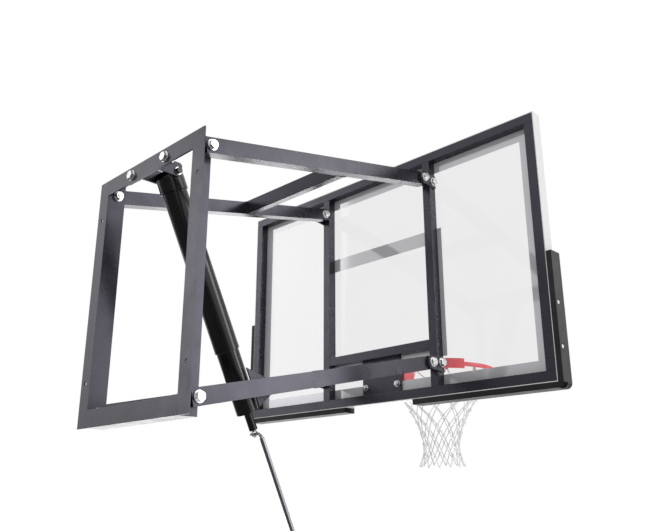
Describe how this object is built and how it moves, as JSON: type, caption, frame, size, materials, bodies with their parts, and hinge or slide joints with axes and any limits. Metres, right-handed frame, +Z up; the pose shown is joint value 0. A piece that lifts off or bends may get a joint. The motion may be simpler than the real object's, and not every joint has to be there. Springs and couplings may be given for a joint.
{
  "type": "wall-mounted basketball backboard",
  "caption": "Wall-hung basketball backboard: clear framed board with corner pads, hoop and net on parallel swing arms, set to height by a crank-driven screw jack.",
  "frame": {"origin": "middle of the four anchor holes, on the wall plane", "axes": "+Y from the wall towards the court, +Z up, +X to the right when looking from the wall"},
  "size_m": [1.5702, 1.7378, 2.1705],
  "materials": {
    "anthracite_steel": "satin anthracite powder coat",
    "zinc_steel": "bright zinc plate",
    "bronze_bush": "plain bearing bronze",
    "clear_pane": "clear cast sheet, slightly milky",
    "white_line": "printed film",
    "white_trim": "satin extrusion",
    "black_pad": "moulded foam skin, matt",
    "red_steel": "gloss red powder coat",
    "white_cord": "braided cord",
    "black_tube": "satin black paint",
    "crank_steel": "zinc plate",
    "black_grip": "matt moulding"
  },
  "bodies": {
    "wall_frame": {"wall_upright_left": "anthracite_steel", "wall_upright_right": "anthracite_steel", "wall_rail_top": "anthracite_steel", "wall_rail_bottom": "anthracite_steel", "jack_bracket": "anthracite_steel", "bracket_bolts": "zinc_steel", "bracket_washers": "zinc_steel", "bracket_nuts": "zinc_steel", "wall_pivot_bolts": "zinc_steel", "wall_pivot_washers": "zinc_steel", "wall_pivot_nuts": "zinc_steel", "jack_pivot_bolt": "black_tube"},
    "upper_arms": {"upper_arm_left": "anthracite_steel", "upper_arm_right": "anthracite_steel", "upper_cross_bar": "anthracite_steel", "upper_arm_bushes": "bronze_bush"},
    "lower_arms": {"lower_arm_left": "anthracite_steel", "lower_arm_right": "anthracite_steel", "lower_cross_bar": "anthracite_steel", "jack_clevis_plates": "anthracite_steel", "lower_arm_bushes": "bronze_bush", "jack_clevis_pins": "zinc_steel"},
    "board": {"frame_tube_top": "anthracite_steel", "frame_tube_bottom": "anthracite_steel", "frame_tube_left": "anthracite_steel", "frame_tube_right": "anthracite_steel", "frame_upright_left": "anthracite_steel", "frame_upright_right": "anthracite_steel", "frame_mid_bar": "anthracite_steel", "hoop_plate": "anthracite_steel", "board_bracket_ears": "anthracite_steel", "hoop_bolts": "zinc_steel", "board_pivot_bolts": "zinc_steel", "board_clamp_bolts": "zinc_steel", "board_nuts": "zinc_steel", "board_washers": "zinc_steel", "pad_screws": "zinc_steel", "pane": "clear_pane", "board_lines": "white_line", "edge_trims": "white_trim", "corner_pad_left": "black_pad", "corner_pad_right": "black_pad", "rim_bracket": "red_steel", "rim_band": "red_steel", "rim_ring": "red_steel", "net_hooks": "red_steel", "net": "white_cord"},
    "jack_outer": {"jack_head": "black_tube", "jack_outer_tube": "black_tube", "jack_guide_ring": "bronze_bush", "jack_nut_tube": "zinc_steel"},
    "jack_inner": {"jack_inner_tube": "black_tube", "jack_inner_fittings": "bronze_bush"},
    "drive_shaft": {"drive_screw": "crank_steel", "crank_eye": "crank_steel"},
    "crank": {"crank_rod": "crank_steel", "rod_grip": "black_grip"},
    "crank_handle": {"handle_grip": "black_grip"}
  },
  "joints": [
    {"name": "upper_arms_swing", "type": "hinge", "parent": "wall_frame", "child": "upper_arms", "pos_m": [0, 0.036, 0.367], "axis": [1, 0, 0], "range_deg": [-27.5, 5.5]},
    {"name": "lower_arms_swing", "type": "hinge", "parent": "wall_frame", "child": "lower_arms", "pos_m": [0, 0.036, -0.367], "axis": [1, 0, 0], "range_deg": [-28, 6]},
    {"name": "board_pivot", "type": "hinge", "parent": "upper_arms", "child": "board", "pos_m": [0, 1.04354, 0.59037], "axis": [1, 0, 0], "range_deg": [-6, 28]},
    {"name": "jack_swing", "type": "hinge", "parent": "wall_frame", "child": "jack_outer", "pos_m": [0, 0.0785, 0.378], "axis": [1, 0, 0], "range_deg": [-5.2, 1.2]},
    {"name": "jack_slide", "type": "slide", "parent": "jack_outer", "child": "jack_inner", "axis": [0, 0.4413, -0.8974], "range_m": [-0.034, 0.167]},
    {"name": "screw_spin", "type": "hinge", "parent": "jack_inner", "child": "drive_shaft", "pos_m": [0, 0.46907, -0.41629], "axis": [0, 0.4413, -0.8974], "continuous": true},
    {"name": "crank_swing", "type": "hinge", "parent": "drive_shaft", "child": "crank", "pos_m": [0, 0.46982, -0.41781], "axis": [1, 0, 0], "range_deg": [-45, 25]},
    {"name": "handle_spin", "type": "hinge", "parent": "crank", "child": "crank_handle", "pos_m": [0.1774, 0.94976, -1.39491], "axis": [0, 0.4409, -0.8976], "continuous": true}
  ],
  "couplings": [
    {"joint": "lower_arms_swing", "follows": "upper_arms_swing", "ratio": 1},
    {"joint": "board_pivot", "follows": "upper_arms_swing", "ratio": -1},
    {"joint": "jack_swing", "follows": "upper_arms_swing", "ratio": 0.1797},
    {"joint": "jack_slide", "follows": "upper_arms_swing", "m_per_rad": -0.34581}
  ]
}
